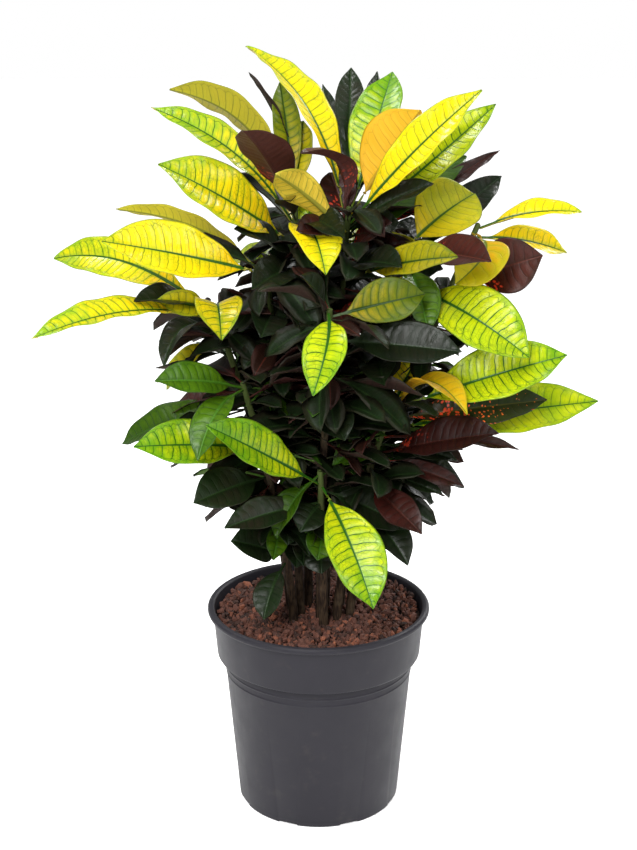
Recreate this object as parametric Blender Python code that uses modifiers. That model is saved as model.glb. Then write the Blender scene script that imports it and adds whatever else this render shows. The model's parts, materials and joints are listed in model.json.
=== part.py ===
"""Potted croton: a nursery pot filled with bark, ten woody canes and forty-eight of their leaves.

Every sub-part is one closed object in metres, with +Z up and the pot standing on z = 0.
The leaves are grown from the canes: each one is a folded, arching blade on a short stalk,
from a foot on its cane's bark to a tip that is stated in millimetres.
"""

import math
from collections import namedtuple

import bmesh
import bpy
from mathutils import Quaternion, Vector

MM = 0.001
TOUCH_GAP = 0.3 * MM        # air left between pieces that touch

# Nursery pot, 27 cm across its rim
POT_HEIGHT = 253.5 * MM
RIM_RADIUS = 135.0 * MM
RIM_BEAD_RADIUS = 4.5 * MM
COLLAR_TOP_RADIUS = 128.8 * MM
COLLAR_FOOT_RADIUS = 123.5 * MM
COLLAR_HEIGHT = 63.0 * MM
BODY_TOP_RADIUS = 115.0 * MM
BODY_FOOT_RADIUS = 98.6 * MM
FOOT_CORNER_RADIUS = 3.0 * MM
WALL_THICKNESS = 2.6 * MM
FLOOR_THICKNESS = 4.5 * MM
RING_DEPTHS = (12.0 * MM, 21.0 * MM)    # of the two raised rings, down from the ledge
RING_WIDTH = 3.0 * MM
RING_RISE = 0.6 * MM
DRAIN_NOTCHES = 8
DRAIN_NOTCH_SIZE = (9.0 * MM, 24.0 * MM, 7.0 * MM)
POT_SEGMENTS = 64

# Bark filling
SOIL_TOP = POT_HEIGHT - 15.5 * MM
SOIL_SEGMENTS = 48

# Canes: they leave the soil upright and lean out towards their tops
CANE_FOOT_RADIUS = 7.0 * MM
CANE_TIP_RADIUS = 4.2 * MM
CANE_LEAN = 1.4             # power of the height that the lean follows
CANE_UPRIGHT = 8.0 * MM     # straight stretch just above the soil
CANE_STEPS = 9

# Leaf blades
STALK_WIDTH = 3.0 * MM
LEAF_THICKNESS = 1.1 * MM
LEAF_TIP_WIDTH = 1.6 * MM
LEAF_CLEARANCE = 1.2 * MM   # between the cane's bark and the stalk
LEAF_FOLD = 20.0            # degrees that each half of a blade is raised
BASE_TAPER = 0.93           # powers of the outline towards its two ends
TIP_TAPER = 0.80
BELLY = BASE_TAPER / (BASE_TAPER + TIP_TAPER)
BLADE_ROWS = (0.0, 0.07, 0.17, 0.3, 0.44, 0.58, 0.71, 0.83, 0.93, 1.0)

Finish = namedtuple("Finish", "colour roughness")
FINISHES = {
    "pot_plastic": Finish((0.063, 0.061, 0.076), 0.55),
    "bark_soil": Finish((0.080, 0.027, 0.019), 0.95),
    "cane_bark": Finish((0.150, 0.085, 0.045), 0.85),
    "yellow_leaf": Finish((0.860, 0.680, 0.010), 0.35),
    "lime_leaf": Finish((0.560, 0.640, 0.020), 0.35),
    "amber_leaf": Finish((0.740, 0.440, 0.010), 0.40),
    "olive_leaf": Finish((0.330, 0.290, 0.015), 0.45),
    "green_leaf": Finish((0.060, 0.190, 0.015), 0.35),
    "dark_leaf": Finish((0.012, 0.022, 0.006), 0.35),
    "maroon_leaf": Finish((0.045, 0.012, 0.010), 0.40),
    "spotted_leaf": Finish((0.030, 0.028, 0.008), 0.35),
}

Cane = namedtuple("Cane", "foot_x foot_y top_x top_y top_z")
CANES = {
    "crown_cane": Cane(8, 6, 34, 2, 738),
    "left_crown_cane": Cane(-12, 18, -28, 48, 740),
    "left_cane": Cane(-22, -6, -60, -22, 676),
    "far_left_cane": Cane(-34, 10, -118, -34, 628),
    "right_crown_cane": Cane(26, 8, 100, 20, 695),
    "far_right_cane": Cane(38, -8, 183, 20, 715),
    "right_cane": Cane(22, -22, 84, -48, 520),
    "front_cane": Cane(2, -22, 12, -90, 642),
    "low_left_cane": Cane(-30, -26, -86, -56, 548),
    "low_front_cane": Cane(6, -40, 2, -66, 446),
}

# One row for a leaf: the height of its foot, its tip and its width (mm), how much it arches
# up and how far it is rolled about its own length (degrees), its finish; then, where it has
# one, its sideways bend (degrees), and the share of its length that is stalk.
Leaf = namedtuple("Leaf", "foot_z tip_x tip_y tip_z width arch roll finish bend stalk",
                  defaults=(0, 0.13))
LEAVES = {
    "crown_cane": (
        Leaf(731, -85, 130, 905, 64, 24, 8, "yellow_leaf"),
        Leaf(735, 38, 130, 880, 38, 10, 0, "dark_leaf", stalk=0.3),
        Leaf(726, 86, 105, 878, 64, 12, 0, "lime_leaf", bend=-6, stalk=0.2),
        Leaf(733, 112, -20, 850, 80, 10, -75, "amber_leaf", stalk=0.2),
        Leaf(722, 176, -48, 875, 54, 8, 58, "yellow_leaf"),
        Leaf(714, 200, 30, 850, 56, -4, 45, "lime_leaf"),
        Leaf(728, -20, -35, 805, 46, 50, 0, "maroon_leaf"),
        Leaf(655, 149, -118, 707, 46, 10, 50, "olive_leaf", stalk=0.28),
    ),
    "left_crown_cane": (
        Leaf(736, -46, 140, 862, 36, 12, 0, "olive_leaf"),
        Leaf(729, -176, 130, 855, 58, 20, 60, "olive_leaf", bend=25),
        Leaf(716, -188, 25, 847, 50, 24, -38, "yellow_leaf"),
        Leaf(730, -80, -80, 836, 62, 10, 10, "maroon_leaf"),
        Leaf(688, -175, -49, 795, 74, 8, -60, "yellow_leaf"),
        Leaf(697, 8, -75, 677, 62, 40, 0, "yellow_leaf"),
        Leaf(650, -70, 196, 700, 60, 24, 0, "dark_leaf"),
    ),
    "left_cane": (
        Leaf(668, -237, 66, 724, 36, 20, 50, "olive_leaf"),
        Leaf(668, -231, -119, 724, 72, 4, -54, "yellow_leaf"),
    ),
    "far_left_cane": (
        Leaf(624, -315, 80, 662, 50, 20, -60, "yellow_leaf", bend=-18),
        Leaf(618, -301, -181, 633, 50, 18, -16, "yellow_leaf"),
        Leaf(625, -104, -142, 621, 56, 40, 0, "yellow_leaf"),
        Leaf(604, -172, -88, 577, 40, 50, 0, "dark_leaf"),
    ),
    "low_left_cane": (
        Leaf(544, -177, -141, 575, 46, 10, -45, "green_leaf"),
        Leaf(538, -180, -2, 491, 40, 10, -20, "maroon_leaf"),
        Leaf(468, -204, -125, 495, 60, 8, -50, "lime_leaf"),
        Leaf(541, -132, -150, 487, 44, 30, 0, "green_leaf"),
        Leaf(430, -141, -105, 421, 58, 10, -40, "dark_leaf"),
        Leaf(330, -101, -76, 364, 54, 8, -48, "dark_leaf"),
        Leaf(318, -64, -85, 268, 40, 20, 0, "dark_leaf"),
    ),
    "low_front_cane": (
        Leaf(432, -120, -175, 536, 58, 2, -62, "lime_leaf"),
        Leaf(405, -106, -118, 396, 44, 10, -35, "dark_leaf"),
        Leaf(425, 61, -170, 320, 70, 16, 10, "lime_leaf"),
    ),
    "front_cane": (
        Leaf(638, -6, -196, 575, 50, 24, 0, "lime_leaf", bend=14),
        Leaf(634, 117, -84, 658, 56, 4, 58, "olive_leaf"),
        Leaf(605, 156, -120, 602, 58, 4, 45, "dark_leaf"),
    ),
    "right_crown_cane": (
        Leaf(672, 121, -84, 613, 46, 26, 0, "green_leaf", stalk=0.2),
        Leaf(645, 232, -100, 590, 78, 24, 40, "lime_leaf", stalk=0.25),
        Leaf(690, 182, 68, 742, 86, 16, 38, "olive_leaf"),
        Leaf(681, 186, -105, 699, 54, 8, 34, "maroon_leaf", stalk=0.2),
        Leaf(620, 115, 196, 655, 60, 22, 0, "olive_leaf"),
    ),
    "far_right_cane": (
        Leaf(712, 301, 20, 729, 40, 16, 22, "yellow_leaf"),
        Leaf(700, 293, 60, 673, 44, 12, 35, "yellow_leaf"),
        Leaf(650, 253, -20, 687, 68, 4, 80, "maroon_leaf", stalk=0.2),
        Leaf(706, 152, -56, 662, 66, 34, -10, "amber_leaf", bend=44, stalk=0.22),
    ),
    "right_cane": (
        Leaf(515, 278, -75, 586, 70, 8, 55, "lime_leaf", stalk=0.2),
        Leaf(502, 261, -50, 526, 54, 2, 50, "spotted_leaf"),
        Leaf(490, 325, -15, 514, 66, 2, 50, "lime_leaf"),
        Leaf(517, 164, -121, 531, 48, 50, 0, "amber_leaf"),
        Leaf(460, 199, -120, 509, 58, 4, 36, "maroon_leaf"),
    ),
}


def remove_existing_objects():
    for obj in list(bpy.data.objects):
        bpy.data.objects.remove(obj, do_unlink=True)


def new_collection(name):
    collection = bpy.data.collections.new(name)
    bpy.context.scene.collection.children.link(collection)
    return collection


def make_material(name):
    finish = FINISHES[name]
    material = bpy.data.materials.new(name)
    material.use_nodes = True
    shader = material.node_tree.nodes["Principled BSDF"]
    shader.inputs["Base Color"].default_value = (*finish.colour, 1.0)
    shader.inputs["Roughness"].default_value = finish.roughness
    shader.inputs["Metallic"].default_value = 0.0
    return material


def add_object(name, data, collection, material):
    obj = bpy.data.objects.new(name, data)
    collection.objects.link(obj)
    data.materials.append(material)
    return obj


def shade_smooth(mesh):
    for polygon in mesh.polygons:
        polygon.use_smooth = True


def turned_object(name, profile, segments, collection, material):
    """Turn a profile of (radius, height) points about Z into a closed solid."""
    mesh = bpy.data.meshes.new(name)
    points = [(radius, 0.0, height) for radius, height in profile]
    edges = [(i, i + 1) for i in range(len(points) - 1)]
    mesh.from_pydata(points, edges, [])
    obj = add_object(name, mesh, collection, material)
    screw = obj.modifiers.new("turn", "SCREW")
    screw.axis = "Z"
    screw.angle = math.tau
    screw.steps = segments
    screw.render_steps = segments
    screw.use_merge_vertices = True
    screw.merge_threshold = 0.00005
    screw.use_smooth_shade = True
    return obj


def arc(centre, radius, start, end, steps):
    """Points of a circular arc in the profile's plane, its angles in degrees."""
    points = []
    for i in range(steps + 1):
        angle = math.radians(start + (end - start) * i / steps)
        points.append((centre[0] + radius * math.cos(angle), centre[1] + radius * math.sin(angle)))
    return points


def body_radius(height):
    """Outer radius of the pot's tapering body."""
    ledge = POT_HEIGHT - COLLAR_HEIGHT
    return BODY_FOOT_RADIUS + (BODY_TOP_RADIUS - BODY_FOOT_RADIUS) * height / ledge


def collar_radius(height):
    """Outer radius of the collar, which tapers a little faster than the body."""
    share = (POT_HEIGHT - height) / COLLAR_HEIGHT
    return COLLAR_TOP_RADIUS + (COLLAR_FOOT_RADIUS - COLLAR_TOP_RADIUS) * share


def pot_ring(depth):
    """One raised ring: four points standing proud of the body, from top to bottom."""
    centre = POT_HEIGHT - COLLAR_HEIGHT - depth
    points = []
    for offset, rise in ((0.5, 0.0), (0.2, RING_RISE), (-0.2, RING_RISE), (-0.5, 0.0)):
        height = centre + offset * RING_WIDTH
        points.append((body_radius(height) + rise, height))
    return points


def pot_profile():
    ledge = POT_HEIGHT - COLLAR_HEIGHT
    bead_centre = (RIM_RADIUS - RIM_BEAD_RADIUS, POT_HEIGHT - RIM_BEAD_RADIUS)
    inner_ledge = ledge + WALL_THICKNESS
    profile = [
        (0.0, FLOOR_THICKNESS),
        (body_radius(FLOOR_THICKNESS) - WALL_THICKNESS, FLOOR_THICKNESS),
        (body_radius(inner_ledge) - WALL_THICKNESS, inner_ledge),
        (collar_radius(inner_ledge) - WALL_THICKNESS, inner_ledge),
    ]
    profile += arc(bead_centre, RIM_BEAD_RADIUS, 180, -110, 9)
    profile += [
        (collar_radius(bead_centre[1] - RIM_BEAD_RADIUS), bead_centre[1] - RIM_BEAD_RADIUS),
        (collar_radius(ledge + WALL_THICKNESS), ledge + WALL_THICKNESS),
        (COLLAR_FOOT_RADIUS - 0.5 * WALL_THICKNESS, ledge),
        (body_radius(ledge), ledge),
    ]
    for depth in RING_DEPTHS:
        profile += pot_ring(depth)
    corner_centre = (BODY_FOOT_RADIUS - FOOT_CORNER_RADIUS, FOOT_CORNER_RADIUS)
    profile += arc(corner_centre, FOOT_CORNER_RADIUS, 0, -90, 3)
    profile.append((0.0, 0.0))
    return profile


def add_drain_cutters(cutters):
    """Boxes that bite the drain notches out of the pot's bottom edge."""
    boxes = []
    for i in range(DRAIN_NOTCHES):
        angle = math.tau * (i + 0.5) / DRAIN_NOTCHES
        mesh = bpy.data.meshes.new(f"drain_cutter_{i + 1}")
        shape = bmesh.new()
        bmesh.ops.create_cube(shape, size=1.0)
        bmesh.ops.scale(shape, vec=DRAIN_NOTCH_SIZE, verts=shape.verts)
        shape.to_mesh(mesh)
        shape.free()
        box = bpy.data.objects.new(mesh.name, mesh)
        cutters.objects.link(box)
        box.location = (BODY_FOOT_RADIUS * math.cos(angle), BODY_FOOT_RADIUS * math.sin(angle), 0.0)
        box.rotation_euler = (0.0, 0.0, angle)
        box.display_type = "WIRE"
        box.hide_render = True
        boxes.append(box)
    return boxes


def add_pot(collection, cutters, material):
    pot = turned_object("pot", pot_profile(), POT_SEGMENTS, collection, material)
    for box in add_drain_cutters(cutters):
        notch = pot.modifiers.new(box.name, "BOOLEAN")
        notch.operation = "DIFFERENCE"
        notch.solver = "EXACT"
        notch.object = box
    return pot


def add_soil(collection, material):
    """The bark filling: it follows the inside of the pot, ledge and all."""
    ledge = POT_HEIGHT - COLLAR_HEIGHT + WALL_THICKNESS
    inset = WALL_THICKNESS + TOUCH_GAP
    floor = FLOOR_THICKNESS + TOUCH_GAP
    profile = [
        (0.0, SOIL_TOP),
        (collar_radius(SOIL_TOP) - inset - 2.0 * MM, SOIL_TOP),
        (collar_radius(SOIL_TOP) - inset - TOUCH_GAP, SOIL_TOP - 2.0 * MM),
        (collar_radius(ledge) - inset - TOUCH_GAP, ledge + TOUCH_GAP),
        (body_radius(ledge) - inset - TOUCH_GAP, ledge + TOUCH_GAP),
        (body_radius(floor) - inset - TOUCH_GAP, floor),
        (0.0, floor),
    ]
    return turned_object("bark_soil", profile, SOIL_SEGMENTS, collection, material)


def cane_centre(cane, height):
    """Centre of a cane at a height: it leans out more and more on its way up."""
    start = SOIL_TOP + CANE_UPRIGHT
    share = max(0.0, (height - start) / (cane.top_z * MM - start)) ** CANE_LEAN
    x = cane.foot_x + (cane.top_x - cane.foot_x) * share
    y = cane.foot_y + (cane.top_y - cane.foot_y) * share
    return Vector((x * MM, y * MM, height))


def cane_radius(cane, height):
    share = (height - SOIL_TOP) / (cane.top_z * MM - SOIL_TOP)
    return CANE_FOOT_RADIUS + (CANE_TIP_RADIUS - CANE_FOOT_RADIUS) * share


def add_cane(name, cane, collection, material):
    curve = bpy.data.curves.new(name, "CURVE")
    curve.dimensions = "3D"
    curve.bevel_depth = CANE_FOOT_RADIUS
    curve.bevel_resolution = 2
    curve.use_fill_caps = True
    start = SOIL_TOP + CANE_UPRIGHT
    heights = [SOIL_TOP + TOUCH_GAP]
    heights += [start + (cane.top_z * MM - start) * i / CANE_STEPS for i in range(CANE_STEPS + 1)]
    spline = curve.splines.new("POLY")
    spline.points.add(len(heights) - 1)
    spline.use_smooth = True
    for point, height in zip(spline.points, heights):
        point.co = (*cane_centre(cane, height), 1.0)
        point.radius = cane_radius(cane, height) / CANE_FOOT_RADIUS
    return add_object(name, curve, collection, material)


def leaf_midrib(foot, tip, arch, bend, upward, sideways):
    """Control points of the midrib: it rises above its chord by the arch and swings by the bend."""
    chord = tip - foot
    reach = chord.length * 0.36
    along = chord.normalized()
    lean = upward * math.tan(math.radians(arch)) + sideways * math.tan(math.radians(bend))
    return (foot, foot + reach * (along + lean), tip - reach * (along - lean), tip)


def bezier(points, t):
    a, b, c, d = points
    s = 1.0 - t
    return a * s ** 3 + b * 3.0 * s * s * t + c * 3.0 * s * t * t + d * t ** 3


def bezier_direction(points, t):
    a, b, c, d = points
    s = 1.0 - t
    return ((b - a) * s * s + (c - b) * 2.0 * s * t + (d - c) * t * t).normalized()


def blade_width(leaf, share):
    """Full width of the blade at a share of its length: widest at its belly."""
    fullness = (share / BELLY) ** BASE_TAPER * ((1.0 - share) / (1.0 - BELLY)) ** TIP_TAPER
    return max(leaf.width * MM * fullness, LEAF_TIP_WIDTH)


def leaf_rows(leaf, cane):
    """Left edge, midrib and right edge of the leaf's upper side, row by row from foot to tip."""
    tip = Vector((leaf.tip_x, leaf.tip_y, leaf.tip_z)) * MM
    height = leaf.foot_z * MM
    centre = cane_centre(cane, height)
    outward = Vector((tip.x - centre.x, tip.y - centre.y, 0.0)).normalized()
    foot = centre + outward * (cane_radius(cane, height) + LEAF_CLEARANCE)
    along = (tip - foot).normalized()
    sideways = Vector((0.0, 0.0, 1.0)).cross(along).normalized()
    sideways = Quaternion(along, math.radians(leaf.roll)) @ sideways
    upward = along.cross(sideways)
    midrib = leaf_midrib(foot, tip, leaf.arch, leaf.bend, upward, sideways)
    fold = math.radians(LEAF_FOLD)
    stations = [(0.0, STALK_WIDTH, 0.0)]
    for share in BLADE_ROWS:
        width = max(blade_width(leaf, share), STALK_WIDTH) if share < 0.5 else blade_width(leaf, share)
        stations.append((leaf.stalk + (1.0 - leaf.stalk) * share, width, fold))
    rows = []
    for t, width, raise_angle in stations:
        centre = bezier(midrib, t)
        ahead = bezier_direction(midrib, t)
        left = (sideways - ahead * sideways.dot(ahead)).normalized()
        normal = ahead.cross(left)
        across = left * math.cos(raise_angle) * width / 2.0
        lift = normal * math.sin(raise_angle) * width / 2.0
        rows.append((centre + across + lift, centre, centre - across + lift))
    return rows


def add_leaf(name, leaf, cane, collection, material):
    rows = leaf_rows(leaf, cane)
    shape = bmesh.new()
    bmesh.ops.create_grid(shape, x_segments=len(rows) - 1, y_segments=2, size=0.5)
    shape.verts.ensure_lookup_table()
    grid = sorted(shape.verts, key=lambda vert: (round(vert.co.x, 4), -vert.co.y))
    targets = [point for row in rows for point in row]
    for vert, point in zip(grid, targets):
        vert.co = point - rows[0][1]
    mesh = bpy.data.meshes.new(name)
    shape.to_mesh(mesh)
    shape.free()
    shade_smooth(mesh)
    obj = add_object(name, mesh, collection, material)
    obj.location = rows[0][1]
    shell = obj.modifiers.new("thickness", "SOLIDIFY")
    shell.thickness = LEAF_THICKNESS
    shell.offset = -1.0
    return obj


def main():
    remove_existing_objects()
    collection = new_collection("potted_croton")
    cutters = new_collection("cutters")
    materials = {name: make_material(name) for name in FINISHES}
    add_pot(collection, cutters, materials["pot_plastic"])
    add_soil(collection, materials["bark_soil"])
    for cane_name, cane in CANES.items():
        add_cane(cane_name, cane, collection, materials["cane_bark"])
        shoot = cane_name.replace("cane", "leaf")
        for number, leaf in enumerate(LEAVES[cane_name], start=1):
            add_leaf(f"{shoot}_{number}", leaf, cane, collection, materials[leaf.finish])


main()
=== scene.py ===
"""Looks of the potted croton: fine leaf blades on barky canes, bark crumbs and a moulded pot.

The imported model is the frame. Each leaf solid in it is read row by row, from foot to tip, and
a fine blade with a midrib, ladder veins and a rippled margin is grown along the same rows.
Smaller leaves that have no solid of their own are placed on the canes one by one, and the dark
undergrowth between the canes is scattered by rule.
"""

import json
import math
from collections import namedtuple

import bmesh
import bpy
import numpy as np
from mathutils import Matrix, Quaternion, Vector


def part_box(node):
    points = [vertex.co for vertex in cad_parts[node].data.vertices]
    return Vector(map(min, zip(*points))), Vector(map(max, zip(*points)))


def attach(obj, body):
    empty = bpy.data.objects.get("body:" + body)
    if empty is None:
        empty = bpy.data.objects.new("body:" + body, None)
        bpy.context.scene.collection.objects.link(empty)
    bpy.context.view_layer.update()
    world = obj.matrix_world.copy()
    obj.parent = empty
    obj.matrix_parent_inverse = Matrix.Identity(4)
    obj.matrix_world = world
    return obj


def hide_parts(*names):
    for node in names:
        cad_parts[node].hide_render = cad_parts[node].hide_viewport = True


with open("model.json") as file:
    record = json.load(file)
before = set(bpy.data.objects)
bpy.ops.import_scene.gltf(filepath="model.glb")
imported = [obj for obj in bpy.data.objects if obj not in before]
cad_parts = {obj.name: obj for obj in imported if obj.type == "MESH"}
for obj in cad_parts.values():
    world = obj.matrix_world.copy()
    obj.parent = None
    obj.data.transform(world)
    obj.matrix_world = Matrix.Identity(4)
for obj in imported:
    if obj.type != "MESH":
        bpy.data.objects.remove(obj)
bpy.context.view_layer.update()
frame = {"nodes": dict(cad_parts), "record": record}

MM = 0.001
NODES = frame["nodes"]
SLOT_OF = {part["node"]: part["material_slot"] for part in frame["record"]["subparts"]}
BODY = "root"

# Relief of a blade
VEIN_SPACING = 10.0 * MM
VEIN_SLOPE = 0.26           # how far a vein runs forward for each unit that it runs out
VEIN_LOOP = 0.55            # spacings that a vein swings forward where it meets the margin
VEIN_WANDER = 1.1
HOOP_EDGE = 0.80            # share of the half width where the veins join in hoops
QUILT_HEIGHT = 0.5 * MM
RIPPLE_LENGTH = 46.0 * MM
BLADE_THICKNESS = 0.7 * MM
RIB_HEIGHT = 1.9 * MM
RIB_WIDTH = 1.9 * MM
GROOVE_DEPTH = 0.5 * MM
LEAF_FOLD = math.tan(math.radians(20.0))
ROOTED = 4.0 * MM           # that a stalk is lengthened at its foot, towards its cane
LARGE_RIPPLE = 1.2 * MM     # height of the waves along a large leaf's margin
TONE_STEP = 0.618           # from one leaf's tone to the next one's, in whole turns
FINE_COLUMNS = (-1.0, -0.72, -0.4, -0.14, 0.0, 0.14, 0.4, 0.72, 1.0)
PLAIN_COLUMNS = (-1.0, -0.5, 0.0, 0.5, 1.0)

# Colours of a leaf: most of its blade, patches in it, its foot, its green parts (tip, margin and
# mottling), veins, midrib, underside and flecks; then how far the flecks and the veins show, how
# rough the surface is, how much light passes through and how strongly it reflects
Look = namedtuple("Look", "blade flush foot green vein rib under fleck flecks veins gloss glow shine",
                  defaults=(0.24,))
LOOKS = {
    "yellow_leaf": Look(
        (0.90, 0.66, 0.004), (0.62, 0.62, 0.010), (0.86, 0.44, 0.004), (0.19, 0.40, 0.012),
        (0.045, 0.12, 0.006), (0.030, 0.10, 0.008), (0.62, 0.45, 0.06), (0.88, 0.66, 0.01),
        0.0, 1.0, 0.15, 0.26),
    "lime_leaf": Look(
        (0.60, 0.66, 0.006), (0.35, 0.52, 0.006), (0.66, 0.62, 0.006), (0.10, 0.30, 0.008),
        (0.025, 0.10, 0.006), (0.025, 0.11, 0.008), (0.36, 0.42, 0.03), (0.6, 0.68, 0.02),
        0.0, 1.0, 0.16, 0.28),
    "amber_leaf": Look(
        (0.64, 0.36, 0.002), (0.66, 0.44, 0.003), (0.60, 0.24, 0.003), (0.40, 0.38, 0.004),
        (0.34, 0.20, 0.008), (0.12, 0.16, 0.01), (0.72, 0.40, 0.02), (0.8, 0.4, 0.01),
        0.0, 0.5, 0.34, 0.26),
    "olive_leaf": Look(
        (0.60, 0.50, 0.004), (0.38, 0.40, 0.004), (0.70, 0.46, 0.004), (0.12, 0.22, 0.006),
        (0.07, 0.11, 0.008), (0.04, 0.10, 0.008), (0.44, 0.38, 0.02), (0.5, 0.4, 0.02),
        0.0, 0.8, 0.36, 0.26),
    "green_leaf": Look(
        (0.050, 0.130, 0.004), (0.110, 0.22, 0.006), (0.07, 0.14, 0.005), (0.022, 0.072, 0.004),
        (0.012, 0.05, 0.004), (0.06, 0.17, 0.012), (0.07, 0.12, 0.02), (0.5, 0.5, 0.02),
        0.0, 0.8, 0.24, 0.18),
    "dark_leaf": Look(
        (0.007, 0.015, 0.004), (0.016, 0.013, 0.008), (0.008, 0.020, 0.004), (0.006, 0.018, 0.004),
        (0.003, 0.007, 0.002), (0.014, 0.030, 0.008), (0.034, 0.014, 0.012), (0.4, 0.02, 0.01),
        0.0, 0.6, 0.27, 0.05, 0.18),
    "maroon_leaf": Look(
        (0.050, 0.010, 0.007), (0.066, 0.014, 0.009), (0.070, 0.010, 0.007), (0.020, 0.010, 0.006),
        (0.018, 0.006, 0.005), (0.075, 0.018, 0.012), (0.050, 0.014, 0.012), (0.70, 0.045, 0.025),
        0.22, 0.6, 0.32, 0.06, 0.22),
    "spotted_leaf": Look(
        (0.014, 0.026, 0.005), (0.030, 0.032, 0.008), (0.060, 0.016, 0.008), (0.012, 0.022, 0.005),
        (0.006, 0.012, 0.003), (0.05, 0.05, 0.012), (0.040, 0.018, 0.014), (0.92, 0.20, 0.03),
        1.0, 0.4, 0.26, 0.06),
}

# Shaded copies of three looks for the undergrowth inside the plant: painted shade, darker and duller
SHADED = {
    "dark_leaf": LOOKS["dark_leaf"]._replace(
        blade=(0.005, 0.010, 0.003), flush=(0.009, 0.012, 0.005), gloss=0.36,
        shine=0.15),
    "green_leaf": LOOKS["green_leaf"]._replace(
        blade=(0.014, 0.042, 0.003), flush=(0.024, 0.062, 0.004), gloss=0.32,
        shine=0.16),
    "maroon_leaf": LOOKS["maroon_leaf"]._replace(
        blade=(0.014, 0.005, 0.003), flush=(0.020, 0.007, 0.004),
        foot=(0.040, 0.008, 0.006), flecks=0.0, gloss=0.38, shine=0.15),
}

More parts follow.
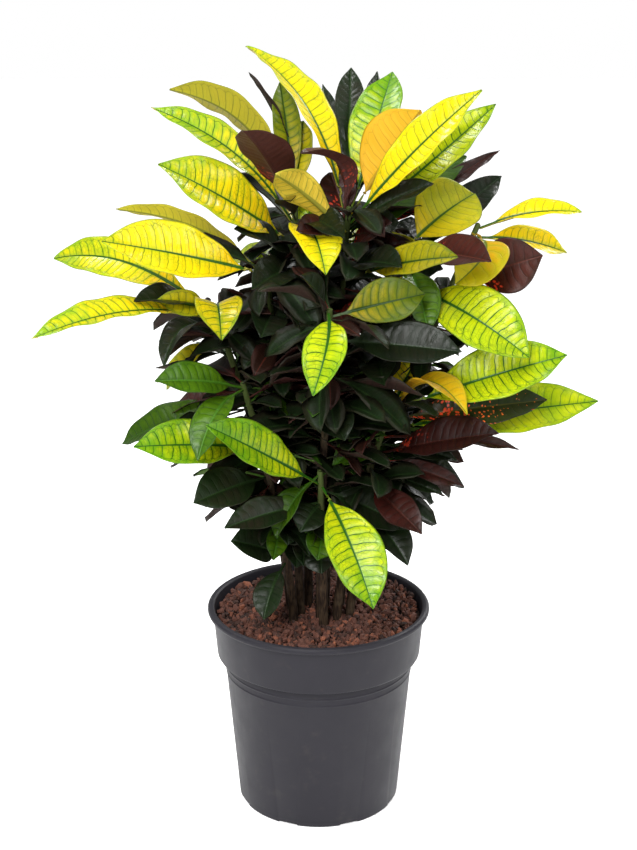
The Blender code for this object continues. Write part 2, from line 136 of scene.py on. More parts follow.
# A leaf with no solid of its own: where it leaves its cane, its tip and its width (mm), how far
# it arches up, how far it is rolled about its own length and how far it bends sideways (degrees)
Leaf = namedtuple("Leaf", "cane foot_z tip_x tip_y tip_z width arch roll look bend stalk ripple",
                  defaults=(0, 0.13, 1.5))
SMALL_LEAVES = (
    Leaf("crown_cane", 717, 70, 150, 874, 34, 12, 30, "dark_leaf"),
    Leaf("crown_cane", 716, 127, -40, 772, 37, 12, 40, "dark_leaf"),
    Leaf("crown_cane", 728, 5, 108, 864, 24, 10, 0, "dark_leaf"),
    Leaf("left_crown_cane", 735, -82, 128, 875, 16, 20, 80, "dark_leaf"),
    Leaf("left_crown_cane", 735, -18, 116, 820, 34, 12, 0, "olive_leaf"),
    Leaf("crown_cane", 712, -47, -70, 787, 40, 24, 58, "yellow_leaf"),
    Leaf("left_crown_cane", 690, 4, 89, 742, 34, 10, 0, "lime_leaf"),
    Leaf("far_left_cane", 628, -201, -102, 654, 44, 14, -20, "dark_leaf"),
    Leaf("far_left_cane", 627, -179, -87, 651, 30, 24, -70, "olive_leaf"),
    Leaf("far_left_cane", 590, -177, -15, 527, 40, 20, -30, "olive_leaf"),
    Leaf("low_left_cane", 520, -233, 0, 456, 44, 16, -40, "green_leaf"),
    Leaf("low_front_cane", 440, -48, -97, 375, 44, 20, 0, "green_leaf"),
    Leaf("right_cane", 519, 113, 11, 556, 46, 16, 30, "yellow_leaf"),
    Leaf("right_cane", 480, 231, -60, 470, 22, 10, 30, "maroon_leaf"),
    Leaf("crown_cane", 690, 178, 135, 775, 50, 12, 30, "green_leaf"),
    Leaf("crown_cane", 684, 219, 150, 780, 22, 8, 40, "maroon_leaf"),
    Leaf("right_crown_cane", 670, 221, 140, 751, 40, 8, 40, "dark_leaf"),
    Leaf("low_front_cane", 420, 101, -60, 375, 56, 10, 40, "dark_leaf"),
    Leaf("right_cane", 440, 135, -10, 384, 50, 14, 30, "dark_leaf"),
    Leaf("right_cane", 420, 116, -126, 392, 40, 10, 30, "maroon_leaf"),
    Leaf("right_cane", 390, 103, -97, 342, 44, 16, 10, "dark_leaf"),
    Leaf("low_front_cane", 440, 76, 1, 473, 44, 20, 40, "green_leaf"),
    Leaf("right_cane", 460, 171, -29, 412, 42, 10, 30, "dark_leaf"),
    Leaf("right_cane", 470, 161, -40, 450, 26, 12, 40, "dark_leaf"),
    Leaf("right_cane", 452, 169, -50, 421, 24, 14, 50, "maroon_leaf"),
    Leaf("right_cane", 434, 146, -60, 413, 24, 10, 20, "dark_leaf"),
    Leaf("low_left_cane", 372, -52, -92, 346, 26, 20, -20, "green_leaf"),
    Leaf("left_crown_cane", 668, -94, -30, 720, 46, 12, -40, "dark_leaf"),
    Leaf("left_crown_cane", 712, 29, -60, 715, 42, 22, 20, "dark_leaf"),
    Leaf("crown_cane", 700, -25, -40, 719, 44, 20, -30, "maroon_leaf"),
    Leaf("crown_cane", 668, 91, -90, 690, 44, 14, 30, "dark_leaf"),
    Leaf("crown_cane", 684, 82, -30, 727, 44, 14, 40, "maroon_leaf"),
    Leaf("left_crown_cane", 650, -73, -90, 664, 46, 22, -30, "dark_leaf"),
    Leaf("front_cane", 632, -20, -110, 685, 40, 20, -40, "dark_leaf"),
    Leaf("crown_cane", 722, 13, 30, 773, 44, 16, -20, "maroon_leaf"),
    Leaf("crown_cane", 706, 61, 10, 739, 40, 16, 30, "dark_leaf"),
    Leaf("left_crown_cane", 724, -34, 90, 756, 44, 16, 0, "dark_leaf"),
    Leaf("right_crown_cane", 600, 103, -90, 593, 46, 16, 30, "dark_leaf"),
    Leaf("left_crown_cane", 610, -20, -100, 621, 48, 20, -20, "dark_leaf"),
    Leaf("crown_cane", 620, 29, -80, 616, 46, 20, 20, "maroon_leaf"),
    Leaf("left_cane", 620, -63, -100, 613, 44, 18, -20, "dark_leaf"),
    Leaf("right_crown_cane", 560, 73, -110, 561, 46, 18, 20, "dark_leaf"),
    Leaf("left_cane", 520, -32, -90, 514, 46, 18, -20, "green_leaf"),
    Leaf("front_cane", 520, 29, -130, 504, 46, 20, 20, "dark_leaf"),
    Leaf("low_left_cane", 396, -35, -85, 362, 44, 16, -20, "dark_leaf"),
    Leaf("low_front_cane", 372, -1, -104, 351, 40, 20, -20, "green_leaf"),
    Leaf("front_cane", 392, 21, -100, 368, 42, 16, 20, "dark_leaf"),
    Leaf("left_cane", 360, -17, -70, 330, 36, 14, -20, "dark_leaf"),
    Leaf("right_cane", 366, 39, -70, 330, 38, 14, 20, "dark_leaf"),
    Leaf("low_front_cane", 404, -21, -110, 388, 44, 20, -20, "dark_leaf"),
    Leaf("crown_cane", 372, -50, -40, 350, 40, 16, -20, "dark_leaf"),
    Leaf("crown_cane", 704, 93, 10, 719, 46, 14, 30, "dark_leaf"),
    Leaf("crown_cane", 676, 106, 0, 698, 44, 14, 40, "maroon_leaf"),
    Leaf("right_crown_cane", 690, 70, -30, 716, 42, 20, -30, "dark_leaf"),
    Leaf("right_crown_cane", 680, 82, -10, 711, 44, 30, -30, "olive_leaf"),
    Leaf("right_crown_cane", 660, 82, -40, 662, 44, 20, 0, "dark_leaf"),
    Leaf("right_crown_cane", 640, 141, -20, 672, 46, 14, 40, "dark_leaf"),
    Leaf("left_crown_cane", 640, -57, -10, 689, 44, 14, -60, "dark_leaf"),
    Leaf("left_crown_cane", 660, -3, -60, 656, 44, 20, 20, "dark_leaf"),
    Leaf("left_cane", 350, -26, -60, 323, 38, 14, -20, "dark_leaf"),
    Leaf("low_front_cane", 350, 4, -82, 325, 38, 16, 20, "dark_leaf"),
    Leaf("low_front_cane", 366, 22, -92, 344, 38, 16, 20, "dark_leaf"),
    Leaf("low_left_cane", 376, -10, -100, 354, 38, 16, -10, "dark_leaf"),
    Leaf("right_cane", 344, 37, -60, 315, 36, 14, 20, "dark_leaf"),
    Leaf("right_crown_cane", 640, 112, 100, 708, 42, 12, 0, "dark_leaf"),
    Leaf("right_crown_cane", 645, 152, 70, 668, 40, 10, 20, "maroon_leaf"),
    Leaf("crown_cane", 640, 62, 60, 664, 40, 10, 10, "dark_leaf"),
    Leaf("crown_cane", 620, 70, 70, 640, 44, 10, 20, "dark_leaf"),
)

# Leaves that reach out at the back of the plant
BACK_LEAVES = (
    Leaf("left_crown_cane", 690, -20, 178, 716, 60, 24, 10, "yellow_leaf"),
    Leaf("left_crown_cane", 640, -112, 166, 640, 56, 22, -20, "lime_leaf"),
    Leaf("crown_cane", 674, 66, 178, 686, 58, 20, 15, "lime_leaf"),
    Leaf("right_crown_cane", 600, 150, 150, 596, 54, 18, 20, "yellow_leaf"),
    Leaf("left_crown_cane", 590, -40, 182, 570, 56, 26, 0, "amber_leaf"),
    Leaf("crown_cane", 560, 40, 182, 560, 58, 22, 10, "yellow_leaf"),
    Leaf("left_crown_cane", 520, -96, 160, 500, 52, 20, -10, "olive_leaf"),
    Leaf("right_crown_cane", 540, 112, 166, 510, 54, 20, 10, "lime_leaf"),
    Leaf("crown_cane", 482, -8, 182, 464, 52, 24, 0, "lime_leaf"),
    Leaf("far_left_cane", 560, -130, 120, 540, 50, 18, -10, "green_leaf"),
)

# How far a leaf's green parts and its veins show, from 0 to 1, where it isn't as usual
USUAL_GREENING = (0.3, 0.9)
GREENING = {
    "crown_leaf_1": (0.35, 0.6),
    "crown_leaf_3": (0.75, 0.9),
    "crown_leaf_5": (0.15, 0.6),
    "crown_leaf_6": (0.15, 1.0),
    "crown_leaf_8": (0.2, 0.8),
    "left_crown_leaf_1": (0.75, 1.0),
    "left_crown_leaf_2": (0.3, 1.0),
    "left_crown_leaf_3": (0.75, 1.0),
    "left_crown_leaf_5": (0.5, 0.9),
    "left_crown_leaf_6": (0.05, 0.6),
    "left_leaf_1": (0.1, 0.5),
    "left_leaf_2": (0.1, 0.7),
    "far_left_leaf_1": (0.5, 0.9),
    "far_left_leaf_2": (0.6, 0.9),
    "far_left_leaf_3": (0.35, 1.0),
    "front_leaf_1": (0.45, 1.0),
    "front_leaf_2": (0.85, 0.9),
    "low_front_leaf_1": (0.75, 1.0),
    "low_front_leaf_3": (0.55, 1.0),
    "low_left_leaf_3": (0.7, 1.0),
    "right_crown_leaf_1": (0.2, 1.0),
    "right_crown_leaf_2": (0.35, 1.0),
    "right_crown_leaf_3": (0.1, 0.6),
    "far_right_leaf_1": (0.15, 0.5),
    "far_right_leaf_2": (0.15, 0.7),
    "far_right_leaf_4": (0.9, 0.8),
    "right_leaf_1": (0.4, 1.0),
    "right_leaf_3": (0.2, 0.6),
}

# Leaves that lie in the shade of others: how much darker than the rest, from 0 to 1
SHADE = {
    "crown_leaf_8": 0.4,
    "left_crown_leaf_1": 0.2,
    "left_crown_leaf_2": 0.15,
    "far_left_leaf_3": 0.3,
    "front_leaf_2": 0.5,
    "front_leaf_3": 0.4,
    "low_front_leaf_1": 0.15,
    "right_crown_leaf_1": 0.1,
    "right_leaf_3": 0.1,
    "right_leaf_5": 0.65,
}

SMALL_SHADE = {"green_leaf": 0.4, "maroon_leaf": 0.45, "dark_leaf": 0.3}

# Undergrowth: one row for each finish
Undergrowth = namedtuple("Undergrowth", "look spacing length width highest seed")
UNDERGROWTH = (
    Undergrowth("dark_leaf", 5.2 * MM, 128.0 * MM, 50.0 * MM, 1.0, 3),
    Undergrowth("green_leaf", 24.0 * MM, 100.0 * MM, 38.0 * MM, 0.56, 8),
    Undergrowth("maroon_leaf", 18.0 * MM, 114.0 * MM, 42.0 * MM, 1.0, 5),
)
UNDERGROWTH_LOW = 334.0 * MM
UNDERGROWTH_FULL = 450.0 * MM       # the leaves below this height are smaller and lie flatter
UNDERGROWTH_REACH = 150.0 * MM      # from the plant's middle; canes further out stay bare
BARE_FRONT_DEPTH = -54.0 * MM       # canes in front of this and below this height stay bare
BARE_FRONT_HEIGHT = 470.0 * MM
BARE_TOP_REACH = 85.0 * MM          # and so do canes further out and higher than this
BARE_TOP_HEIGHT = 655.0 * MM
CLEARANCES = ((0.45, 14.0), (0.75, 12.0), (1.0, 7.0))   # share of a leaf's length, room there in mm
GOLDEN_ANGLE = math.radians(137.5)
CANE_GIRTH = 0.82           # of a bare cane, as a share of its solid's


# ---------------------------------------------------------------- node trees

class Graph:
    """Writes a node tree: each call adds one node and returns it or its first output."""

    def __init__(self, tree):
        self.tree = tree

    def put(self, socket, value):
        if isinstance(value, bpy.types.NodeSocket):
            self.tree.links.new(value, socket)
        elif value is not None:
            socket.default_value = value

    def node(self, kind, values=(), **settings):
        node = self.tree.nodes.new(kind)
        for key, setting in settings.items():
            setattr(node, key, setting)
        pairs = values.items() if isinstance(values, dict) else enumerate(values)
        for key, value in pairs:
            self.put(node.inputs[key], value)
        return node

    def out(self, kind, values=(), **settings):
        return self.node(kind, values, **settings).outputs[0]

    def math(self, operation, *values):
        return self.out("ShaderNodeMath", values, operation=operation)

    def fold(self, operation, values):
        """The values taken together from left to right, two at a time."""
        result = values[0]
        for value in values[1:]:
            result = self.math(operation, result, value)
        return result

    def add(self, *values):
        return self.fold("ADD", values)

    def minus(self, *values):
        return self.fold("SUBTRACT", values)

    def times(self, *values):
        return self.fold("MULTIPLY", values)

    def scaled(self, vector, factor):
        values = {"Vector": vector, "Scale": factor}
        return self.node("ShaderNodeVectorMath", values, operation="SCALE").outputs[0]

    def vector(self, operation, *values):
        return self.node("ShaderNodeVectorMath", values, operation=operation).outputs[0]

    def combine(self, *values):
        return self.node("ShaderNodeCombineXYZ", values).outputs[0]

    def split(self, value):
        return self.node("ShaderNodeSeparateXYZ", [value]).outputs

    def noise(self, vector, scale, detail=2.0):
        values = {"Vector": vector, "Scale": scale, "Detail": detail}
        return self.node("ShaderNodeTexNoise", values).outputs[0]

    def ramp(self, value, low, high):
        """0 below low, 1 above high and smooth between them; low may lie above high."""
        values = {"Value": value, "From Min": low, "From Max": high}
        return self.node("ShaderNodeMapRange", values, interpolation_type="SMOOTHSTEP").outputs[0]

    def mix(self, share, first, second, blend="MIX"):
        node = self.node("ShaderNodeMix", data_type="RGBA", blend_type=blend)
        for socket, value in zip((node.inputs[0], node.inputs[6], node.inputs[7]), (share, first, second)):
            if isinstance(value, tuple) and len(value) == 3:
                value = (*value, 1.0)
            self.put(socket, value)
        return node.outputs[2]


def vein_phase(graph, along, across, half, wander):
    """Number of the vein at a point: whole numbers lie on a vein, halves midway between two."""
    out = graph.math("ABSOLUTE", across)
    edge = graph.math("DIVIDE", out, half)
    slope = graph.times(out, VEIN_SLOPE)
    loop = graph.times(graph.math("POWER", edge, 4.0), VEIN_LOOP * VEIN_SPACING)
    back = graph.minus(along, slope, loop)
    phase = graph.math("DIVIDE", back, VEIN_SPACING)
    side = graph.times(graph.math("GREATER_THAN", across, 0.0), 0.43)
    return graph.add(phase, side, wander)


def vein_wander(graph, along, across):
    """Small irregularity of the veins' spacing, different on the two halves of a leaf."""
    side = graph.math("SIGN", across)
    place = graph.combine(graph.times(along, 48.0), graph.times(side, 7.0),
                          graph.times(across, 30.0))
    return graph.times(graph.minus(graph.noise(place, 1.0, 2.0), 0.5), VEIN_WANDER)


def bell(graph, distance, width):
    """Bell curve of a distance: 1 on the line, near nothing two widths away."""
    ratio = graph.math("DIVIDE", distance, width)
    return graph.math("EXPONENT", graph.times(ratio, ratio, -1.0))


def new_tree(name, inputs):
    """An empty geometry tree with named inputs: (name, socket kind, default)."""
    tree = bpy.data.node_groups.new(name, "GeometryNodeTree")
    tree.interface.new_socket("Geometry", in_out="OUTPUT", socket_type="NodeSocketGeometry")
    tree.interface.new_socket("Geometry", in_out="INPUT", socket_type="NodeSocketGeometry")
    for label, kind, default in inputs:
        socket = tree.interface.new_socket(label, in_out="INPUT", socket_type="NodeSocket" + kind)
        if default is not None:
            socket.default_value = default
    graph = Graph(tree)
    return graph, tree.nodes.new("NodeGroupInput").outputs


def end_tree(graph, geometry, material):
    """Every tree ends the same way: instances made real, then one material."""
    real = graph.out("GeometryNodeRealizeInstances", [geometry])
    painted = graph.out("GeometryNodeSetMaterial", {"Geometry": real, "Material": material})
    output = graph.tree.nodes.new("NodeGroupOutput")
    graph.tree.links.new(painted, output.inputs[0])
    return graph.tree


def stored(graph, geometry, name, value, domain="POINT", kind="FLOAT"):
    """The geometry with a named attribute on it."""
    values = {"Geometry": geometry, "Name": name, "Value": value}
    return graph.out("GeometryNodeStoreNamedAttribute", values, data_type=kind, domain=domain)


def named(graph, name, kind="FLOAT_VECTOR"):
    return graph.out("GeometryNodeInputNamedAttribute", {"Name": name}, data_type=kind)


def grow(obj, tree, **values):
    """Run a tree on an object and keep the result as a plain mesh with the object's name."""
    modifier = obj.modifiers.new(tree.name, "NODES")
    modifier.node_group = tree
    for item in tree.interface.items_tree:
        key = item.name.lower().replace(" ", "_")
        if item.in_out == "INPUT" and key in values:
            modifier[item.identifier] = values[key]
    bpy.context.view_layer.update()
    evaluated = obj.evaluated_get(bpy.context.evaluated_depsgraph_get())
    mesh = bpy.data.meshes.new_from_object(evaluated)
    name = obj.name
    bpy.data.objects.remove(obj)
    mesh.name = name
    return add_piece(name, mesh)


def add_piece(name, mesh):
    piece = bpy.data.objects.new(name, mesh)
    bpy.context.scene.collection.objects.link(piece)
    return piece


# ---------------------------------------------------------------- leaf blades

def welded(node):
    """The node's mesh with its loose triangles joined, as a bmesh."""
    shape = bmesh.new()
    shape.from_mesh(NODES[node].data)
    bmesh.ops.remove_doubles(shape, verts=shape.verts, dist=0.01 * MM)
    return shape


def cane_of(leaf_name):
    return leaf_name.rsplit("_leaf", 1)[0] + "_cane"


def cane_line(node):
    """Centre and radius of each ring of a cane's solid, from the soil up."""
    points = sorted((vert.co.copy() for vert in NODES[node].data.vertices), key=lambda point: point.z)
    rings = [[points[0]]]
    for point in points[1:]:
        if point.z - rings[-1][-1].z > 4.0 * MM:
            rings.append([])
        rings[-1].append(point)
    line = []
    for ring in rings:
        low = Vector([min(point[i] for point in ring) for i in range(3)])
        high = Vector([max(point[i] for point in ring) for i in range(3)])
        line.append(((low + high) / 2.0, (high.x - low.x) / 2.0))
    return line


CANE_LINES = {name: cane_line(name) for name in NODES if name.endswith("_cane")}


def cane_point(cane, height):
    """Centre and radius of a cane at a height."""
    line = CANE_LINES[cane]
    heights = [centre.z for centre, radius in line]
    x = np.interp(height, heights, [centre.x for centre, radius in line])
    y = np.interp(height, heights, [centre.y for centre, radius in line])
    radius = np.interp(height, heights, [radius for centre, radius in line])
    return Vector((x, y, height)), float(radius)


def solid_rings(leaf_name):
    """The six corners of each ring of a leaf's solid, walked from its foot to its tip."""
    shape = welded(leaf_name)
    line = CANE_LINES[cane_of(leaf_name)]
    middles = densified(line)
    foot = min(shape.verts, key=lambda vert: min((vert.co - middle).length for middle in middles))
    ring = sorted(shape.verts, key=lambda vert: (vert.co - foot.co).length)[:6]
    rings = []
    seen = set()
    while ring:
        middle = sum((vert.co for vert in ring[:6]), Vector()) / 6.0
        if rings:
            before = sum(rings[-1], Vector()) / 6.0
            ring = sorted(ring, key=lambda vert: (vert.co - before).length)
        for i in range(0, len(ring), 6):
            rings.append([vert.co.copy() for vert in ring[i:i + 6]])
        seen.update(ring)
        ahead = []
        for vert in ring:
            for edge in vert.link_edges:
                other = edge.other_vert(vert)
                if other not in seen and other not in ahead:
                    ahead.append(other)
        ring = ahead
    shape.free()
    return rings


def densified(line):
    """The centres of a cane's rings, with four more points between each two."""
    dense = []
    for (a, _), (b, _) in zip(line, line[1:]):
        dense += [a.lerp(b, i / 5.0) for i in range(5)]
    return dense + [line[-1][0]]


def leaf_rows(leaf_name):
    """Left edge, midrib and right edge of a leaf solid's upper side, row by row."""
    rings = solid_rings(leaf_name)
    widest = max(rings, key=lambda ring: max((a - b).length for a in ring for b in ring))
    a, b = max(((a, b) for a in widest for b in widest), key=lambda pair: (pair[0] - pair[1]).length)
    across = (a - b).normalized()

    def pairs(ring):
        ranked = sorted(ring, key=lambda point: -point.dot(across))
        return ranked[0:2], ranked[2:4], ranked[4:6]

    left, rib, right = ((one + two) / 2.0 for one, two in pairs(widest))
    upward = ((left + right) / 2.0 - rib).normalized()
    rows = []
    for number, ring in enumerate(rings):
        after = rings[min(number + 1, len(rings) - 1)]
        before = rings[max(number - 1, 0)]
        ahead = (sum(after, Vector()) - sum(before, Vector())).normalized()
        normal = (upward - ahead * upward.dot(ahead)).normalized()
        rows.append([max(pair, key=lambda point: point.dot(normal)) for pair in pairs(ring)])
    if upward.dot((rows[-1][1] - rows[0][1]).cross(rows[4][0] - rows[4][2])) < 0.0:
        rows = [row[::-1] for row in rows]
    return rows


def placed_rows(leaf):
    """The same rows for a leaf that is placed one by one."""
    tip = Vector((leaf.tip_x, leaf.tip_y, leaf.tip_z)) * MM
    centre, radius = cane_point(leaf.cane, leaf.foot_z * MM)
    outward = Vector((tip.x - centre.x, tip.y - centre.y, 0.0)).normalized()
    foot = centre + outward * radius
    return arched_rows(foot, tip, leaf.width * MM, leaf.arch, leaf.roll, leaf.bend, leaf.stalk)


def arched_rows(foot, tip, width, arch, roll, bend, stalk):
    """Rows of a blade that arches up, bends sideways and is rolled, all in degrees."""
    chord = tip - foot
    along = chord.normalized()
    sideways = Quaternion(along, math.radians(roll)) @ Vector((0.0, 0.0, 1.0)).cross(along).normalized()
    upward = along.cross(sideways)
    reach = chord.length * 0.36
    lean = upward * math.tan(math.radians(arch)) + sideways * math.tan(math.radians(bend))
    control = (foot, foot + reach * (along + lean), tip - reach * (along - lean), tip)
    rows = []
    shares = np.linspace(0.0, 1.0, 11)
    for step in (0.0, *(stalk + (1.0 - stalk) * shares)):
        centre, ahead = bezier(control, step)
        side = (sideways - ahead * sideways.dot(ahead)).normalized()
        share = max(0.0, (step - stalk) / (1.0 - stalk))
        half = max(width * fullness(share), 3.0 * MM if share < 0.5 else 0.8 * MM) / 2.0
        lift = ahead.cross(side) * half * LEAF_FOLD
        rows.append([centre + side * half + lift, centre, centre - side * half + lift])
    return rows


def fullness(share):
    """Width of a blade at a share of its length, as a share of its greatest width."""
    belly = 0.54
    return (share / belly) ** 0.93 * ((1.0 - share) / (1.0 - belly)) ** 0.80


def bezier(control, t):
    a, b, c, d = control
    s = 1.0 - t
    point = a * s ** 3 + b * 3.0 * s * s * t + c * 3.0 * s * t * t + d * t ** 3
    ahead = (b - a) * s * s + (c - b) * 2.0 * s * t + (d - c) * t * t
    return point, ahead.normalized()


def smooth(stations, values, wanted):
    """Values at stations, read off a smooth curve through them at the wanted places."""
    values = np.asarray(values, float)
    slopes = np.gradient(values, stations, axis=0)
    index = np.clip(np.searchsorted(stations, wanted) - 1, 0, len(stations) - 2)
    step = stations[index + 1] - stations[index]
    t = (wanted - stations[index]) / step
    if values.ndim == 2:
        step = step[:, None]
        t = t[:, None]
    a, b = values[index], values[index + 1]
    ma, mb = slopes[index] * step, slopes[index + 1] * step
    return ((2 * t ** 3 - 3 * t ** 2 + 1) * a + (t ** 3 - 2 * t ** 2 + t) * ma
            + (3 * t ** 2 - 2 * t ** 3) * b + (t ** 3 - t ** 2) * mb)


def ribbon(name, rows, lengthwise, mood=None, columns=FINE_COLUMNS, shade=0.0):
    """A blade's sheet before its relief: a grid along the rows, with its own measures on it.

    Each point keeps its place on the leaf (metres along, metres across, half width there), its
    share of the length and the leaf's mood (tone, how green it is, how far its veins show).
    """
    rows = np.array([[list(point) for point in row] for row in rows])
    ahead = rows[1, 1] - rows[0, 1]
    root = rows[0] - ahead / np.linalg.norm(ahead) * ROOTED
    rows = np.concatenate([root[None], rows])
    steps = np.linalg.norm(np.diff(rows[:, 1], axis=0), axis=1)
    stations = np.concatenate([[0.0], np.cumsum(steps)])
    length = stations[-1]
    stalk = stations[2]
    along_stalk = np.linspace(0.0, stalk, 5)[:-1]
    along_blade = stalk + (length - stalk) * np.linspace(0.0, 1.0, lengthwise) ** 0.95
    wanted = np.concatenate([along_stalk, along_blade])
    rib = smooth(stations, rows[:, 1], wanted)
    span = smooth(stations, rows[:, 0] - rows[:, 2], wanted)
    reach = np.linalg.norm(rows[:, 0] - rows[:, 2], axis=1)
    half = np.maximum(smooth(stations, reach, wanted) / 2.0, 0.3 * MM)
    half[wanted <= stalk] = 1.4 * MM
    share = np.clip((wanted - stalk) / (length - stalk), 0.0, 1.0)
    half *= 1.0 - 0.35 * np.clip((share - 0.8) / 0.2, 0.0, 1.0) ** 1.5
    half = np.maximum(half, 0.25 * MM)
    forward = np.gradient(rib, wanted, axis=0)
    forward /= np.linalg.norm(forward, axis=1)[:, None]
    span -= forward * (span * forward).sum(1)[:, None]
    span /= np.linalg.norm(span, axis=1)[:, None]
    normal = np.cross(forward, span)
    verts, places, shares, uvs = [], [], [], []
    for i in range(len(wanted)):
        for x in columns:
            rise = half[i] * (0.50 * abs(x) - 0.14 * x * x) * min(1.0, share[i] * 8.0)
            verts.append(rib[i] + span[i] * half[i] * x + normal[i] * rise)
            places.append((wanted[i], half[i] * x, half[i]))
            shares.append(share[i])
            uvs.append((wanted[i] / length, 0.5 + 0.5 * x))
    count = len(columns)
    faces = []
    for i in range(len(wanted) - 1):
        for j in range(count - 1):
            corner = i * count + j
            faces.append((corner, corner + count, corner + count + 1, corner + 1))
    mesh = bpy.data.meshes.new(name)
    mesh.from_pydata([tuple(vert) for vert in verts], [], faces)
    store(mesh, "leaf_place", "FLOAT_VECTOR", "vector", np.array(places).ravel())
    store(mesh, "leaf_share", "FLOAT", "value", shares)
    if mood is not None:
        store(mesh, "leaf_mood", "FLOAT_VECTOR", "vector", mood * len(verts))
    store(mesh, "leaf_shade", "FLOAT", "value", [shade] * len(verts))
    layer = mesh.uv_layers.new(name="UVMap")
    corners = [index for face in faces for index in face]
    layer.data.foreach_set("uv", np.array([uvs[index] for index in corners], np.float32).ravel())
    return mesh


def store(mesh, name, kind, key, values):
    attribute = mesh.attributes.new(name, kind, "POINT")
    attribute.data.foreach_set(key, np.array(values, np.float32))


def leaf_tree():
    """Relief of a leaf: the sheet is quilted between its veins, rippled and given an underside."""
    graph, given = new_tree("leaf_relief", [
        ("Detail", "Int", 2),
        ("Quilt Height", "Float", QUILT_HEIGHT),
        ("Ripple Height", "Float", 1.5 * MM),
        ("Ripple Start", "Float", 0.0),
        ("Thickness", "Float", BLADE_THICKNESS),
        ("Finish", "Material", None),
    ])
    finer = {"Mesh": given["Geometry"], "Level": given["Detail"]}
    sheet = graph.out("GeometryNodeSubdivisionSurface", finer)
    along, across, half = graph.split(named(graph, "leaf_place"))
    share = named(graph, "leaf_share", "FLOAT")
    out = graph.math("ABSOLUTE", across)
    edge = graph.math("MINIMUM", graph.math("DIVIDE", out, half), 1.0)
    on_blade = graph.ramp(share, 0.0, 0.1)
    phase = vein_phase(graph, along, across, half, vein_wander(graph, along, across))
    between = graph.times(graph.math("PINGPONG", phase, 0.5), 2.0)
    puff = graph.minus(graph.math("POWER", between, 0.6), 0.6)
    inner = graph.times(graph.ramp(edge, 0.02, 0.25), graph.ramp(edge, 1.0, 0.7))
    quilt = graph.times(puff, inner, given["Quilt Height"])
    turn = graph.add(graph.times(along, math.tau / RIPPLE_LENGTH), given["Ripple Start"])
    turn = graph.add(turn, graph.times(graph.math("SIGN", across), 1.1))
    unevenness = graph.add(graph.times(graph.noise(graph.combine(along, across, 0.0), 18.0), 1.6), 0.2)
    ripple = graph.times(graph.math("SINE", turn), graph.math("POWER", edge, 2.2))
    ripple = graph.times(ripple, unevenness, given["Ripple Height"])
    groove = graph.times(bell(graph, out, RIB_WIDTH * 0.6), -GROOVE_DEPTH)
    height = graph.add(quilt, ripple, groove)
    height = graph.times(height, on_blade)
    normal = graph.out("GeometryNodeInputNormal")
    offset = graph.scaled(normal, height)
    upper = graph.out("GeometryNodeSetPosition", {"Geometry": sheet, "Offset": offset})

    taper = graph.minus(1.0, graph.times(share, 0.8))
    rib = graph.times(bell(graph, out, RIB_WIDTH), RIB_HEIGHT, taper)
    depth = graph.add(given["Thickness"], rib)
    depth = graph.times(depth, graph.minus(1.0, graph.math("POWER", edge, 6.0)))
    ends = graph.times(graph.ramp(along, 0.0, 1.5 * MM), graph.ramp(share, 1.0, 0.97))
    depth = graph.times(depth, ends, -1.0)
    drop = graph.scaled(normal, depth)
    lower = graph.out("GeometryNodeSetPosition", {"Geometry": upper, "Offset": drop})
    lower = graph.out("GeometryNodeFlipFaces", [lower])
    lower = stored(graph, lower, "underside", 1.0)
    both = graph.node("GeometryNodeJoinGeometry")
    graph.tree.links.new(lower, both.inputs[0])
    graph.tree.links.new(upper, both.inputs[0])
    closed = graph.out("GeometryNodeMergeByDistance", {"Geometry": both.outputs[0], "Distance": 0.002 * MM})
    soft = graph.out("GeometryNodeSetShadeSmooth", {"Geometry": closed})
    return end_tree(graph, soft, given["Finish"])


# ---------------------------------------------------------------- finishes

def shader_graph(name):
    material = bpy.data.materials.new(name)
    material.use_nodes = True
    nodes = material.node_tree.nodes
    nodes.clear()
    return material, Graph(material.node_tree)


def attribute(graph, name, output="Fac"):
    return graph.node("ShaderNodeAttribute", attribute_name=name).outputs[output]


def bump(graph, height, strength, distance):
    values = {"Height": height, "Strength": strength, "Distance": distance}
    return graph.out("ShaderNodeBump", values)


def surface(graph, colour, roughness, normal, shine):
    values = {"Base Color": colour, "Roughness": roughness, "Normal": normal, "Specular IOR Level": shine}
    return graph.out("ShaderNodeBsdfPrincipled", values)


def leaf_veins(graph, edge, half, phase):
    """Ladder veins: rungs that end in hoops inside the margin, with a finer rung between two."""
    swing = graph.math("PINGPONG", phase, 0.5)
    distance = graph.times(swing, VEIN_SPACING)
    width = graph.times(graph.minus(1.6, edge), 0.52 * MM)
    rung = graph.ramp(distance, width, graph.times(width, 0.55))
    rung = graph.times(rung, graph.ramp(edge, HOOP_EDGE + 0.08, HOOP_EDGE))
    between = graph.times(graph.minus(0.5, swing), VEIN_SPACING)
    fine = graph.times(graph.ramp(between, 0.5 * MM, 0.1 * MM), graph.ramp(edge, 0.75, 0.35))
    wave = graph.math("COSINE", graph.times(phase, math.tau))
    place = graph.minus(HOOP_EDGE, graph.times(wave, 0.045))
    gap = graph.times(graph.math("ABSOLUTE", graph.minus(edge, place)), half)
    hoop = graph.times(graph.ramp(gap, 0.65 * MM, 0.25 * MM), graph.ramp(half, 5.0 * MM, 12.0 * MM))
    strong = graph.math("MAXIMUM", rung, graph.times(hoop, 0.6))
    return graph.math("MAXIMUM", strong, graph.times(fine, 0.4)), distance


